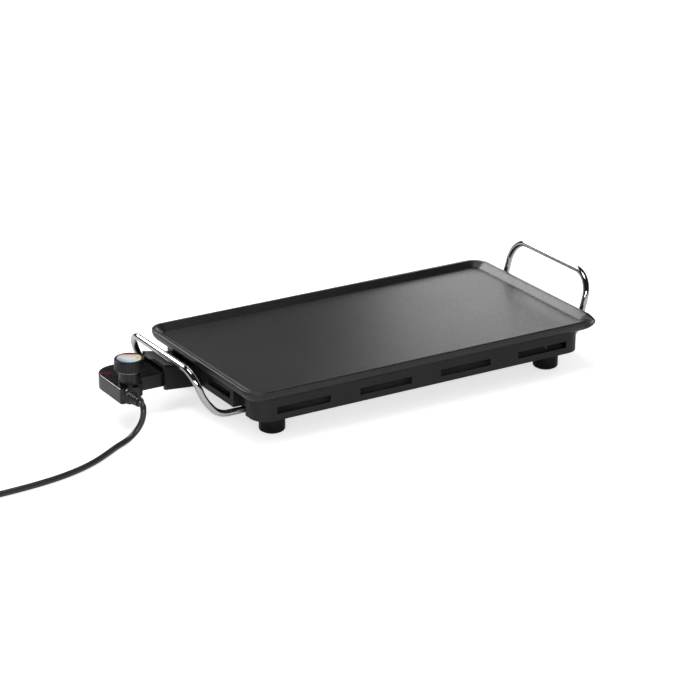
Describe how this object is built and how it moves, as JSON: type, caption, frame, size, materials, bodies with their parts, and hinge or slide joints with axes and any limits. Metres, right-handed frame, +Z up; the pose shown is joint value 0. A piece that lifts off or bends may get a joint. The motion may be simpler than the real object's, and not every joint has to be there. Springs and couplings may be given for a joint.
{
  "type": "teppanyaki grill",
  "caption": "Electric tabletop teppanyaki grill with a flared cast plate, slotted base, wire handles and a plug-in thermostat on a mains cord",
  "frame": {"origin": "on the table under the middle of the grill, from the thermostat's outer end to the right handle, the cord left out", "axes": "+X along the plate to the right handle, +Y away from the person who cooks, +Z up"},
  "size_m": [0.915, 0.2614, 0.108],
  "materials": {
    "plate_black": "satin non-stick coating on cast aluminium",
    "base_black": "satin black coated steel",
    "hood_black": "satin black moulded plastic",
    "foot_black": "glossy black moulded plastic",
    "knob_black": "satin black moulded plastic",
    "pad_rubber": "matt rubber",
    "cord_black": "soft black cable sheath",
    "wire_chrome": "bright chromed steel wire",
    "sheet_steel": "plain coated sheet",
    "tray_aluminium": "plain aluminium",
    "element_steel": "sheathed heating tube",
    "screw_steel": "zinc plated steel",
    "sleeve_brass": "plain brass",
    "block_plastic": "heat-resisting moulding",
    "lens_red": "clear red plastic",
    "lamp_glass": "clear glass",
    "dial_white": "printed pale disc"
  },
  "bodies": {
    "grill": {"base_frame": "base_black", "grill_plate": "plate_black", "bottom_plate": "sheet_steel", "bottom_screws": "screw_steel", "plate_screws": "screw_steel", "foot_front_left": "foot_black", "foot_back_left": "foot_black", "foot_front_right": "foot_black", "foot_back_right": "foot_black", "foot_pads": "pad_rubber", "foot_screws": "screw_steel", "reflector_pan": "tray_aluminium", "pan_spacers": "screw_steel", "pan_screws": "screw_steel", "heating_element": "element_steel", "element_straps": "sheet_steel", "strap_screws": "screw_steel", "terminal_block": "block_plastic", "terminal_pins": "screw_steel", "probe_guide": "tray_aluminium", "socket_hood": "hood_black", "handle_left": "wire_chrome", "handle_right": "wire_chrome", "handle_clips": "block_plastic", "handle_screws": "screw_steel"},
    "thermostat": {"housing_lower": "hood_black", "housing_upper": "hood_black", "housing_screws": "screw_steel", "knob_collar": "wire_chrome", "pilot_lens": "lens_red", "pilot_lamp": "lamp_glass", "probe_rod": "screw_steel", "contact_sleeves": "sleeve_brass", "contact_block": "block_plastic", "switch_block": "block_plastic", "strain_relief": "cord_black", "mains_cord": "cord_black", "cord_coil": "cord_black", "cord_tail": "cord_black", "plug_body": "cord_black", "plug_pins": "sleeve_brass"},
    "knob_body": {"knob": "knob_black", "dial_disc": "dial_white", "spindle": "screw_steel"}
  },
  "joints": [
    {"name": "thermostat_unplug", "type": "slide", "parent": "grill", "child": "thermostat", "axis": [-1, 0, 0], "range_m": [0, 0.12]},
    {"name": "knob_turn", "type": "hinge", "parent": "thermostat", "child": "knob_body", "pos_m": [-0.2875, 0.016, 0.067], "axis": [0, 0, -1], "range_deg": [0, 270]}
  ]
}
